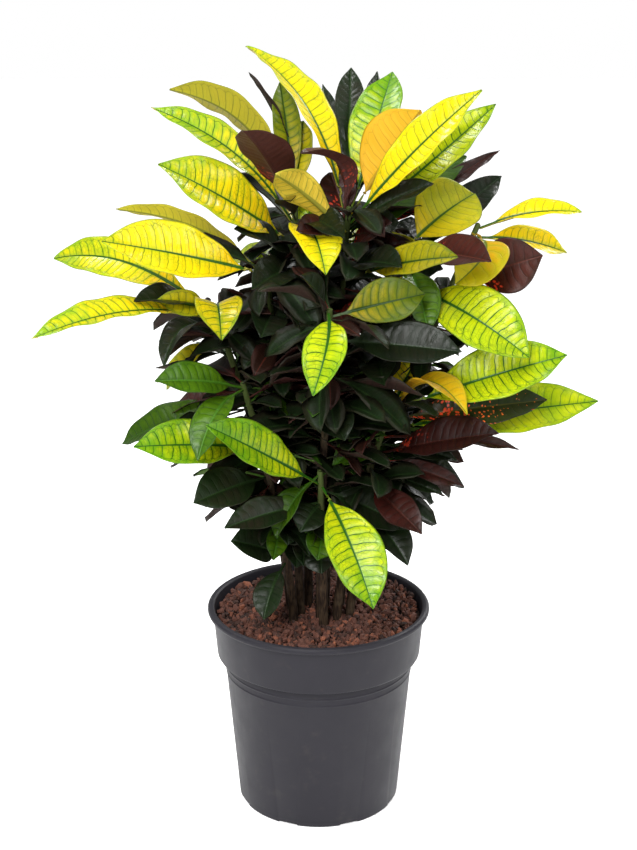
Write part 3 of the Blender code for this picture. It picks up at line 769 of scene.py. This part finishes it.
def leaf_finish(name, look):
    """Waxy blade: mottled, greener towards its tip and margin, under a ladder of thin veins."""
    material, graph = shader_graph(name)
    along, across, half = graph.split(attribute(graph, "leaf_place", "Vector"))
    tone, greening, veining = graph.split(attribute(graph, "leaf_mood", "Vector"))
    share = attribute(graph, "leaf_share")
    under = attribute(graph, "underside")
    out = graph.math("ABSOLUTE", across)
    edge = graph.math("MINIMUM", graph.math("DIVIDE", out, half), 1.0)
    to_margin = graph.minus(half, out)
    shifted = graph.add(along, graph.times(tone, 3.0))
    spot = graph.combine(shifted, across, tone)
    streak_place = graph.combine(shifted, graph.times(across, 0.25), tone)
    streaks = graph.noise(streak_place, 480.0, 3.0)

    # ground: patches, streaks that run outwards, a warmer foot
    patch = graph.times(graph.ramp(graph.noise(spot, 30.0, 3.0), 0.36, 0.66),
                       graph.add(0.35, graph.times(tone, 0.6)))
    colour = graph.mix(graph.math("MINIMUM", patch, 1.0), look.blade, look.flush)
    colour = graph.mix(graph.times(graph.ramp(streaks, 0.45, 0.72), 0.35), colour, look.flush)
    colour = graph.mix(graph.times(graph.ramp(share, 0.45, 0.0), 0.6), colour, look.foot)

    # green parts: the tip, the margin and blotches
    green = graph.add(graph.times(share, 1.05), greening)
    green = graph.add(green, graph.times(graph.math("POWER", edge, 4.0), 0.4))
    mottle = graph.minus(graph.noise(spot, 70.0, 4.0), 0.5)
    green = graph.add(green, graph.times(mottle, 1.3))
    colour = graph.mix(graph.times(graph.ramp(green, 0.95, 1.8), 0.85), colour, look.green)
    margin = graph.times(graph.ramp(to_margin, 1.6 * MM, 0.4 * MM), 0.6)
    colour = graph.mix(margin, colour, look.green)

    # veins, with a green seam along each; midrib
    phase = vein_phase(graph, along, across, half, vein_wander(graph, along, across))
    veins, distance = leaf_veins(graph, edge, half, phase)
    patchy = graph.times(graph.ramp(graph.noise(spot, 48.0, 1.0), 0.3, 0.55), 0.35)
    patchy = graph.add(0.65, patchy)
    shown = graph.times(patchy, veining, look.veins)
    seam = graph.times(bell(graph, distance, 2.2 * MM), graph.times(greening, 0.8))
    colour = graph.mix(seam, colour, look.green)
    mesh_place = graph.combine(graph.times(phase, 2.6), graph.times(across, 190.0), tone)
    meshes = graph.node("ShaderNodeTexVoronoi", {"Vector": mesh_place, "Scale": 1.0, "Randomness": 1.0},
                        feature="DISTANCE_TO_EDGE")
    net = graph.times(graph.ramp(meshes.outputs["Distance"], 0.10, 0.02), graph.times(shown, 0.4))
    net = graph.times(net, graph.ramp(graph.noise(spot, 60.0, 1.0), 0.35, 0.6))
    colour = graph.mix(net, colour, look.vein)
    colour = graph.mix(graph.times(veins, shown), colour, look.vein)
    rib_width = graph.times(graph.minus(1.15, share), 2.0 * MM)
    rib = graph.ramp(out, graph.times(rib_width, 1.2), graph.times(rib_width, 0.6))
    soft_rib = graph.times(bell(graph, out, 3.0 * MM), 0.45)
    colour = graph.mix(soft_rib, colour, look.green)
    colour = graph.mix(rib, colour, look.rib)

    # flecks between the veins, redder and thicker towards the foot
    if look.flecks:
        strung = graph.combine(graph.times(phase, 2.4), graph.times(across, 230.0), tone)
        cells = graph.node("ShaderNodeTexVoronoi", {"Vector": strung, "Scale": 1.0, "Randomness": 1.0})
        thickly = graph.ramp(share, 0.9, 0.1)
        size = graph.add(0.06, graph.times(graph.noise(spot, 90.0, 1.0), 0.52))
        size = graph.times(size, graph.add(0.45, thickly))
        fleck = graph.ramp(cells.outputs["Distance"], size, graph.times(size, 0.75))
        where = graph.add(graph.noise(spot, 20.0, 1.0), graph.times(thickly, 0.25))
        where = graph.ramp(where, 0.80 - 0.24 * look.flecks, 0.86 - 0.24 * look.flecks)
        ruddy = graph.mix(thickly, look.fleck, (0.75, 0.06, 0.02))
        colour = graph.mix(graph.times(fleck, where), colour, ruddy)

    # the underside is duller, with the veins showing through faintly
    below = graph.mix(graph.times(graph.math("MAXIMUM", veins, rib), 0.5), look.under, look.vein)
    colour = graph.mix(graph.times(under, 0.75), colour, below)
    colour = graph.mix(attribute(graph, "leaf_shade"), colour, (0.0, 0.0, 0.0))

    sunk = graph.times(veins, -0.9)
    height = graph.add(graph.times(streaks, 0.9), sunk)
    height = graph.add(height, graph.times(graph.noise(spot, 170.0, 2.0), 1.6))
    normal = bump(graph, height, 0.45, 0.40 * MM)
    gloss = graph.add(look.gloss, graph.times(graph.noise(spot, 70.0, 2.0), 0.14))
    gloss = graph.add(gloss, graph.times(under, 0.2))
    waxy = surface(graph, colour, gloss, normal, look.shine)
    glow = graph.node("ShaderNodeBsdfTranslucent", {"Color": colour, "Normal": normal})
    both = graph.out("ShaderNodeMixShader", [look.glow, waxy, glow.outputs[0]])
    graph.node("ShaderNodeOutputMaterial", [both])
    return material


def plastic_finish():
    material, graph = shader_graph("pot_plastic")
    place = graph.node("ShaderNodeTexCoord").outputs["Object"]
    x, y, z = graph.split(place)
    cloud = graph.noise(place, 14.0, 3.0)
    colour = graph.mix(cloud, (0.0165, 0.0157, 0.0200), (0.0225, 0.0213, 0.0265))
    dust = graph.ramp(graph.noise(place, 60.0, 5.0), 0.58, 0.75)
    colour = graph.mix(graph.times(dust, 0.25), colour, (0.045, 0.040, 0.038))
    grain = graph.noise(place, 1600.0, 2.0)
    drawn = graph.noise(graph.combine(graph.times(x, 6.0), graph.times(y, 6.0), z), 60.0, 2.0)
    height = graph.add(graph.times(grain, 0.5), graph.times(drawn, 0.5))
    roughness = graph.add(0.40, graph.times(graph.noise(place, 40.0, 3.0), 0.18))
    moulded = surface(graph, colour, roughness, bump(graph, height, 0.25, 0.15 * MM), 0.12)
    graph.node("ShaderNodeOutputMaterial", [moulded])
    return material


def crumb_finish():
    material, graph = shader_graph("bark_soil")
    place = graph.node("ShaderNodeTexCoord").outputs["Object"]
    tone = attribute(graph, "crumb_tone")
    colour = graph.mix(graph.ramp(tone, 0.0, 0.6), (0.016, 0.006, 0.004), (0.078, 0.027, 0.017))
    colour = graph.mix(graph.ramp(tone, 0.78, 1.0), colour, (0.19, 0.060, 0.030))
    fibre = graph.noise(graph.vector("MULTIPLY", place, (1.0, 3.0, 1.0)), 700.0, 4.0)
    colour = graph.mix(graph.times(graph.ramp(fibre, 0.5, 0.75), 0.45), colour, (0.20, 0.092, 0.058))
    height = graph.noise(place, 900.0, 4.0)
    earthy = surface(graph, colour, 0.8, bump(graph, height, 0.8, 0.8 * MM), 0.35)
    graph.node("ShaderNodeOutputMaterial", [earthy])
    return material


def bark_finish():
    material, graph = shader_graph("cane_bark")
    place = graph.node("ShaderNodeTexCoord").outputs["Object"]
    x, y, z = graph.split(place)
    fissure = graph.noise(graph.combine(x, y, graph.times(z, 0.18)), 520.0, 5.0)
    blotch = graph.noise(place, 60.0, 3.0)
    colour = graph.mix(graph.ramp(fissure, 0.35, 0.65), (0.010, 0.005, 0.003), (0.040, 0.024, 0.013))
    colour = graph.mix(graph.times(graph.ramp(blotch, 0.5, 0.7), 0.35), colour, (0.085, 0.062, 0.038))
    young = graph.times(attribute(graph, "cane_youth"), 0.8)
    colour = graph.mix(young, colour, (0.055, 0.085, 0.018))
    woody = surface(graph, colour, 0.8, bump(graph, fissure, 0.7, 1.0 * MM), 0.15)
    graph.node("ShaderNodeOutputMaterial", [woody])
    return material


# ---------------------------------------------------------------- pot and bark filling

def build_pot():
    """The pot's own solid, with smooth walls and its edges eased."""
    shape = welded("pot")
    bmesh.ops.dissolve_limit(shape, angle_limit=math.radians(1.0), verts=shape.verts, edges=shape.edges)
    mesh = bpy.data.meshes.new("pot_shell")
    shape.to_mesh(mesh)
    shape.free()
    pot = add_piece("pot_shell", mesh)
    edges = pot.modifiers.new("eased_edges", "BEVEL")
    edges.width = 0.5 * MM
    edges.segments = 2
    edges.limit_method = "ANGLE"
    edges.angle_limit = math.radians(32.0)
    for polygon in mesh.polygons:
        polygon.use_smooth = True
    mesh.set_sharp_from_angle(angle=math.radians(50.0))
    mesh.materials.append(plastic_finish())
    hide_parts("pot")
    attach(pot, BODY)


def crumb_tree():
    """Bark crumbs: lumps of a few sizes scattered over the bed, each one torn differently."""
    graph, given = new_tree("bark_crumbs", [
        ("Spacing", "Float", 4.0 * MM),
        ("Small", "Float", 2.5 * MM),
        ("Large", "Float", 6.0 * MM),
        ("Seed", "Int", 1),
        ("Finish", "Material", None),
    ])
    scattered = graph.node("GeometryNodeDistributePointsOnFaces", {
        "Mesh": given["Geometry"], "Distance Min": given["Spacing"], "Density Max": 90000.0,
        "Seed": given["Seed"]}, distribute_method="POISSON")
    lump = graph.out("GeometryNodeMeshIcoSphere", {"Radius": 1.0, "Subdivisions": 1})
    turn = graph.out("FunctionNodeRandomValue", {"Max": (math.tau, math.tau, math.tau),
                                                  "Seed": given["Seed"]}, data_type="FLOAT_VECTOR")
    size = graph.node("FunctionNodeRandomValue", {"Seed": given["Seed"]}, data_type="FLOAT")
    graph.put(size.inputs[2], 0.0)
    graph.put(size.inputs[3], 1.0)
    squared = graph.math("POWER", size.outputs[1], 2.2)
    span = graph.minus(given["Large"], given["Small"])
    radius = graph.times(graph.add(given["Small"], graph.times(squared, span)), 0.5)
    flat = graph.out("FunctionNodeRandomValue", {"Min": (0.7, 0.6, 0.4), "Max": (1.7, 1.1, 0.9),
                                                  "Seed": given["Seed"]}, data_type="FLOAT_VECTOR")
    scale = graph.scaled(flat, radius)
    rotation = graph.out("FunctionNodeEulerToRotation", [turn])
    lumps = graph.node("GeometryNodeInstanceOnPoints", {
        "Points": scattered.outputs[0], "Instance": lump, "Rotation": rotation,
        "Scale": scale})
    tone = graph.node("FunctionNodeRandomValue", {"Seed": 77}, data_type="FLOAT")
    toned = stored(graph, lumps.outputs[0], "crumb_tone", tone.outputs[1], "INSTANCE")
    real = graph.out("GeometryNodeRealizeInstances", [toned])
    place = graph.out("GeometryNodeInputPosition")
    torn = graph.node("ShaderNodeTexNoise", {"Vector": place, "Scale": 330.0, "Detail": 3.0})
    pull = graph.vector("SUBTRACT", torn.outputs[1], (0.5, 0.5, 0.5))
    pull = graph.scaled(pull, 7.0 * MM)
    ragged = graph.out("GeometryNodeSetPosition", {"Geometry": real, "Offset": pull})
    flat_shaded = graph.out("GeometryNodeSetShadeSmooth", {"Geometry": ragged, "Shade Smooth": False})
    return end_tree(graph, flat_shaded, given["Finish"])


def build_soil():
    """The bark bed: the solid's own top, heaped a little, under loose crumbs of two sizes."""
    low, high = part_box("bark_soil")
    radius = (high.x - low.x) / 2.0
    finish = crumb_finish()
    bed = bmesh.new()
    bmesh.ops.create_circle(bed, cap_ends=True, cap_tris=True, segments=48, radius=radius - 5.0 * MM)
    bmesh.ops.subdivide_edges(bed, edges=bed.edges, cuts=11, use_grid_fill=True)
    bmesh.ops.triangulate(bed, faces=bed.faces)
    for vert in bed.verts:
        x, y = vert.co.x, vert.co.y
        lumps = 1.6 * math.sin(31.0 * x + 1.0) + 1.8 * math.sin(43.0 * y - 0.6)
        lumps += 1.2 * math.sin(90.0 * (x - y))
        outward = math.hypot(x, y) / radius
        bank = 7.0 * outward ** 2 * (0.55 + 0.45 * math.sin(math.atan2(y, x) + 0.5))
        vert.co.z = high.z + (3.0 + lumps + bank) * MM
    mesh = bpy.data.meshes.new("bark_bed")
    bed.to_mesh(mesh)
    bed.free()
    tree = crumb_tree()
    for name, spacing, small, large, seed in (
            ("bark_crumbs", 3.8 * MM, 4.5 * MM, 9.0 * MM, 3),
            ("bark_chips", 10.0 * MM, 8.0 * MM, 13.0 * MM, 9)):
        scattered = grow(add_piece(name, mesh.copy()), tree, spacing=spacing, small=small,
                         large=large, seed=seed, finish=finish)
        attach(scattered, BODY)
    block = welded("bark_soil")
    mesh = bpy.data.meshes.new("bark_block")
    block.to_mesh(mesh)
    block.free()
    piece = add_piece("bark_block", mesh)
    piece.data.materials.append(finish)
    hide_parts("bark_soil")
    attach(piece, BODY)


# ---------------------------------------------------------------- canes

def cane_tree():
    """A cane: a knobbly tube along its line, with a raised scar wherever a leaf has dropped."""
    graph, given = new_tree("barky_cane", [
        ("Scar Spacing", "Float", 13.0 * MM),
        ("Scar Size", "Float", 2.4 * MM),
        ("Ridge Height", "Float", 0.8 * MM),
        ("Seed", "Float", 0.0),
        ("Finish", "Material", None),
    ])
    even = {"Curve": given["Geometry"], "Length": 4.0 * MM}
    line = graph.out("GeometryNodeResampleCurve", even, mode="LENGTH")
    share = graph.node("GeometryNodeSplineParameter").outputs["Factor"]
    aged = stored(graph, line, "cane_youth", graph.ramp(share, 0.55, 1.0))
    round_profile = graph.out("GeometryNodeCurvePrimitiveCircle", {"Resolution": 14, "Radius": 1.0})
    radius = graph.out("GeometryNodeInputRadius")
    tube = graph.node("GeometryNodeCurveToMesh", {
        "Curve": aged, "Profile Curve": round_profile, "Fill Caps": True, "Scale": radius})
    place = graph.out("GeometryNodeInputPosition")
    squeezed = graph.vector("MULTIPLY_ADD", place, (1.0, 1.0, 0.3), graph.combine(given["Seed"], 0.0, 0.0))
    ridges = graph.minus(graph.noise(squeezed, 160.0, 3.0), 0.5)
    height = graph.times(ridges, 2.0, given["Ridge Height"])
    normal = graph.out("GeometryNodeInputNormal")
    offset = graph.scaled(normal, height)
    tube = graph.node("GeometryNodeSetPosition", {"Geometry": tube.outputs[0], "Offset": offset})

    spots = graph.node("GeometryNodeCurveToPoints", {"Curve": aged, "Length": given["Scar Spacing"]},
                       mode="LENGTH")
    index = graph.out("GeometryNodeInputIndex")
    angle = graph.times(graph.add(index, given["Seed"]), GOLDEN_ANGLE)
    twist = graph.out("FunctionNodeAxisAngleToRotation", {"Axis": (0.0, 0.0, 1.0), "Angle": angle})
    turned = graph.out("FunctionNodeRotateRotation", {
        "Rotation": spots.outputs["Rotation"], "Rotate By": twist}, rotation_space="LOCAL")
    scar = graph.node("GeometryNodeMeshIcoSphere", {"Radius": 1.0, "Subdivisions": 2})
    size = graph.vector("MULTIPLY", (0.42, 1.15, 0.62), graph.combine(
        given["Scar Size"], given["Scar Size"], given["Scar Size"]))
    scars = graph.out("GeometryNodeInstanceOnPoints", {
        "Points": spots.outputs[0], "Instance": scar.outputs[0], "Rotation": turned, "Scale": size})
    moved = graph.out("GeometryNodeTranslateInstances", {
        "Instances": scars, "Translation": graph.combine(graph.times(radius, 0.94), 0.0, 0.0),
        "Local Space": True})
    both = graph.node("GeometryNodeJoinGeometry")
    graph.tree.links.new(tube.outputs[0], both.inputs[0])
    graph.tree.links.new(moved, both.inputs[0])
    soft = graph.out("GeometryNodeSetShadeSmooth", {"Geometry": both.outputs[0]})
    return end_tree(graph, soft, given["Finish"])


def build_canes():
    tree = cane_tree()
    finish = bark_finish()
    for number, (name, rings) in enumerate(CANE_LINES.items()):
        foot = rings[0][0] - Vector((0.0, 0.0, 12.0 * MM))
        line = [(foot, rings[0][1])] + rings
        curve = bpy.data.curves.new(name, "CURVE")
        curve.dimensions = "3D"
        spline = curve.splines.new("POLY")
        spline.points.add(len(line) - 1)
        for point, (centre, radius) in zip(spline.points, line):
            point.co = (*centre, 1.0)
            point.radius = radius * CANE_GIRTH
        shoot = name.replace("_cane", "_stem")
        piece = add_piece(shoot, curve)
        piece = grow(piece, tree, seed=float(number), finish=finish)
        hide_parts(name)
        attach(piece, BODY)


# ---------------------------------------------------------------- leaves

def build_leaves():
    tree = leaf_tree()
    finishes = {name: leaf_finish(name, look) for name, look in LOOKS.items()}
    sheets = bmesh.new()
    leaf_names = [name for name in NODES if "_leaf_" in name]
    for number, name in enumerate(leaf_names):
        mood = ((number * TONE_STEP) % 1.0, *GREENING.get(name, USUAL_GREENING))
        sheet = ribbon(name, leaf_rows(name), 30, mood, shade=SHADE.get(name, 0.0))
        sheets.from_mesh(sheet)
        sheet = add_piece(name.replace("_leaf_", "_blade_"), sheet)
        blade = grow(sheet, tree, detail=2, ripple_height=LARGE_RIPPLE,
                     ripple_start=number * 1.9, finish=finishes[SLOT_OF[name]])
        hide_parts(name)
        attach(blade, BODY)
    named_leaves = [(f"small_blade_{n}", leaf) for n, leaf in enumerate(SMALL_LEAVES, start=1)]
    named_leaves += [(f"back_blade_{n}", leaf) for n, leaf in enumerate(BACK_LEAVES, start=1)]
    for number, (name, leaf) in enumerate(named_leaves, start=1):
        mood = ((number * TONE_STEP + 0.3) % 1.0, *USUAL_GREENING)
        sheet = ribbon("sheet", placed_rows(leaf), 20, mood, shade=SMALL_SHADE.get(leaf.look, 0.0))
        if leaf in BACK_LEAVES:
            sheets.from_mesh(sheet)
        sheet = add_piece(name, sheet)
        blade = grow(sheet, tree, detail=2, ripple_height=leaf.ripple * MM,
                     ripple_start=number * 2.3, finish=finishes[leaf.look])
        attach(blade, BODY)
    mesh = bpy.data.meshes.new("leaf_sheets")
    sheets.to_mesh(mesh)
    sheets.free()
    return tree, add_piece("leaf_sheets", mesh)


def undergrowth_tree():
    """Leaves set round the canes by the golden angle, each one tilted and sized at random."""
    graph, given = new_tree("undergrowth", [
        ("Leaf", "Object", None),
        ("Keep Clear", "Object", None),
        ("Length", "Float", 120.0 * MM),
        ("Spacing", "Float", 12.0 * MM),
        ("Highest", "Float", 1.0),
        ("Lowest", "Float", UNDERGROWTH_LOW),
        ("Full Height", "Float", UNDERGROWTH_FULL),
        ("Droop", "Float", math.radians(32.0)),
        ("Seed", "Int", 1),
        ("Finish", "Material", None),
    ])
    spots = graph.out("GeometryNodeCurveToPoints", {"Curve": given["Geometry"], "Length": given["Spacing"]},
                       mode="LENGTH")
    x, y, z = graph.split(graph.out("GeometryNodeInputPosition"))
    flat = graph.combine(x, y, 0.0)
    reach = graph.node("ShaderNodeVectorMath", [flat], operation="LENGTH").outputs["Value"]
    too_low = graph.math("LESS_THAN", z, given["Lowest"])
    bare = graph.math("MAXIMUM", too_low, graph.math("GREATER_THAN", reach, UNDERGROWTH_REACH))
    in_front = graph.times(graph.math("LESS_THAN", y, BARE_FRONT_DEPTH),
                           graph.math("LESS_THAN", z, BARE_FRONT_HEIGHT))
    bare = graph.math("MAXIMUM", bare, in_front)
    outer_top = graph.times(graph.math("GREATER_THAN", reach, BARE_TOP_REACH),
                            graph.math("GREATER_THAN", z, BARE_TOP_HEIGHT))
    bare = graph.math("MAXIMUM", bare, outer_top)
    kept = graph.out("GeometryNodeDeleteGeometry", {"Geometry": spots, "Selection": bare},
                      domain="POINT")
    leaf = graph.node("GeometryNodeObjectInfo", {"Object": given["Leaf"]})
    index = graph.out("GeometryNodeInputIndex")
    chance = graph.out("FunctionNodeRandomValue", {"Min": (-0.6, -1.0, -0.5), "Max": (0.6, 1.0, 0.5),
                                                    "Seed": given["Seed"]}, data_type="FLOAT_VECTOR")
    roll, tilt, swing = graph.split(chance)
    turn = graph.add(graph.times(index, GOLDEN_ANGLE), graph.add(swing, given["Seed"]))
    full = graph.ramp(z, given["Lowest"], given["Full Height"])
    freedom = graph.add(0.42, graph.times(full, 0.58))
    pitch = graph.times(tilt, given["Droop"], freedom)
    pitch = graph.add(pitch, graph.times(full, math.radians(6.0)))
    rotation = graph.out("FunctionNodeEulerToRotation", [graph.combine(roll, pitch, turn)])
    size = graph.node("FunctionNodeRandomValue", {"Seed": given["Seed"]}, data_type="FLOAT")
    graph.put(size.inputs[2], 0.75)
    graph.put(size.inputs[3], 1.2)
    facing = graph.add(0.82, graph.times(graph.math("SINE", turn), 0.18))
    inside = graph.add(0.45, graph.times(graph.ramp(reach, 0.16, 0.08), 0.55))
    scale = graph.times(size.outputs[1], freedom, graph.times(facing, inside))

    # leaves that come close to a large leaf at one of three points along them are left out
    sheets = graph.node("GeometryNodeObjectInfo", {"Object": given["Keep Clear"]}).outputs["Geometry"]
    ahead = graph.out("FunctionNodeRotateVector", {"Vector": (1.0, 0.0, 0.0), "Rotation": rotation})
    free = graph.math("LESS_THAN", z, given["Highest"])
    for share, room in CLEARANCES:
        reached = graph.times(given["Length"], scale, share)
        spot = graph.vector("ADD", graph.combine(x, y, z), graph.scaled(ahead, reached))
        near = graph.node("GeometryNodeProximity", {"Geometry": sheets, "Sample Position": spot},
                          target_element="FACES")
        free = graph.times(free, graph.math("GREATER_THAN", near.outputs["Distance"], room * MM))
    placed = graph.out("GeometryNodeInstanceOnPoints", {
        "Points": kept, "Selection": free, "Instance": leaf.outputs["Geometry"],
        "Rotation": rotation, "Scale": graph.combine(scale, scale, scale)})
    mood = graph.out("FunctionNodeRandomValue", {"Min": (0.0, 0.1, 0.6), "Max": (1.0, 0.6, 1.0), "Seed": 31},
                      data_type="FLOAT_VECTOR")
    toned = stored(graph, placed, "leaf_mood", mood, "INSTANCE", "FLOAT_VECTOR")
    return end_tree(graph, toned, given["Finish"])


def build_undergrowth(blade_tree, sheets):
    tree = undergrowth_tree()
    for row in UNDERGROWTH:
        # painted shade: each undergrowth row wears the darker, duller shaded copy of its look
        shaded = leaf_finish("shaded_" + row.look, SHADED[row.look])
        tip = Vector((row.length, 0.0, 0.0))
        foot = Vector((5.0 * MM, 0.0, 0.0))
        rows = arched_rows(foot, tip, row.width, 18.0, 0.0, 0.0, 0.16)
        sheet = add_piece("pattern_leaf", ribbon("sheet", rows, 8, columns=PLAIN_COLUMNS))
        pattern = grow(sheet, blade_tree, detail=0, ripple_height=2.0 * MM, ripple_start=float(row.seed),
                       finish=shaded)
        curve = bpy.data.curves.new("cane_lines", "CURVE")
        curve.dimensions = "3D"
        for line in CANE_LINES.values():
            spline = curve.splines.new("POLY")
            spline.points.add(len(line) - 1)
            for point, (centre, radius) in zip(spline.points, line):
                point.co = (*centre, 1.0)
        piece = grow(add_piece("undergrowth_" + row.look.split("_")[0], curve), tree, leaf=pattern,
                     keep_clear=sheets, length=row.length, spacing=row.spacing, highest=row.highest,
                     seed=row.seed, finish=shaded)
        bpy.data.objects.remove(pattern)
        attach(piece, BODY)


def main():
    build_pot()
    build_soil()
    build_canes()
    blade_tree, sheets = build_leaves()
    build_undergrowth(blade_tree, sheets)
    bpy.data.objects.remove(sheets)


# ---------------------------------------------------------------- studio

def build_studio():
    mesh = bpy.data.meshes.new("floor")
    shape = bmesh.new()
    bmesh.ops.create_grid(shape, x_segments=1, y_segments=1, size=8.0)
    shape.to_mesh(mesh)
    shape.free()
    floor = add_piece("floor", mesh)
    material, graph = shader_graph("pale_floor")
    shader = graph.out("ShaderNodeBsdfPrincipled", {"Base Color": (0.96, 0.96, 0.96, 1.0), "Roughness": 0.95,
                                                     "Specular IOR Level": 0.1,
                                                     "Emission Color": (1.0, 1.0, 1.0, 1.0),
                                                     "Emission Strength": 0.30})
    graph.node("ShaderNodeOutputMaterial", [shader])
    mesh.materials.append(material)

    world = bpy.data.worlds.new("studio")
    world.use_nodes = True
    world.node_tree.nodes.clear()
    sky = Graph(world.node_tree)
    x, y, z = sky.split(sky.node("ShaderNodeTexCoord").outputs["Generated"])
    behind = sky.ramp(sky.add(y, sky.times(z, 0.8)), 0.25, 1.15)
    strength = sky.add(0.15, sky.times(behind, 0.40))
    seen = sky.node("ShaderNodeLightPath").outputs["Is Camera Ray"]
    strength = sky.add(sky.times(strength, sky.minus(1.0, seen)), seen)
    background = sky.out("ShaderNodeBackground", {"Color": (1.0, 1.0, 1.0, 1.0), "Strength": strength})
    sky.node("ShaderNodeOutputWorld", [background])
    bpy.context.scene.world = world

    for name, toward, power, softness in (
            ("left_sun", (-0.4, -0.75, 1.0), 1.25, 26.0),
            ("right_sun", (0.9, -0.7, 0.9), 0.85, 50.0)):
        sun = bpy.data.lights.new(name, "SUN")
        sun.energy = power
        sun.angle = math.radians(softness)
        lamp = bpy.data.objects.new(name, sun)
        lamp.rotation_euler = (-Vector(toward)).to_track_quat("-Z", "Y").to_euler()
        bpy.context.scene.collection.objects.link(lamp)
    middle = Vector((0.0, 0.0, 0.65))
    for name, place, size, power in (
            ("left_box", (-1.6, -0.9, 1.6), 0.4, 5.0),
            ("right_box", (1.7, -0.8, 1.3), 0.5, 8.0),
            ("front_box", (-0.4, -1.7, 1.8), 0.45, 24.0),
            ("low_front_box", (-0.65, -1.7, 1.0), 0.4, 12.0),
            ("top_box", (-0.1, -0.7, 2.4), 0.5, 14.0),
            ("back_left_panel", (-1.1, 0.9, 2.2), 0.45, 18.0),
            ("back_right_panel", (1.1, 1.25, 2.0), 0.45, 24.0),
            ("low_back_panel", (1.35, 1.8, 1.15), 0.55, 14.0)):
        light = bpy.data.lights.new(name, "AREA")
        light.shape = "SQUARE"
        light.size = size
        light.energy = power
        lamp = bpy.data.objects.new(name, light)
        lamp.location = place
        lamp.rotation_euler = (middle - Vector(place)).to_track_quat("-Z", "Y").to_euler()
        bpy.context.scene.collection.objects.link(lamp)

    camera_data = bpy.data.cameras.new("camera")
    camera_data.sensor_fit = "VERTICAL"
    camera_data.sensor_height = 36.0
    camera_data.lens = 71.64
    camera = bpy.data.objects.new("camera", camera_data)
    camera.location = (0.0, -1.8945, 1.0898)
    camera.rotation_euler = (math.radians(90.0 - 17.85), 0.0, 0.0)
    bpy.context.scene.collection.objects.link(camera)
    bpy.context.scene.camera = camera
    bpy.context.scene.view_settings.view_transform = "Standard"


main()
build_studio()
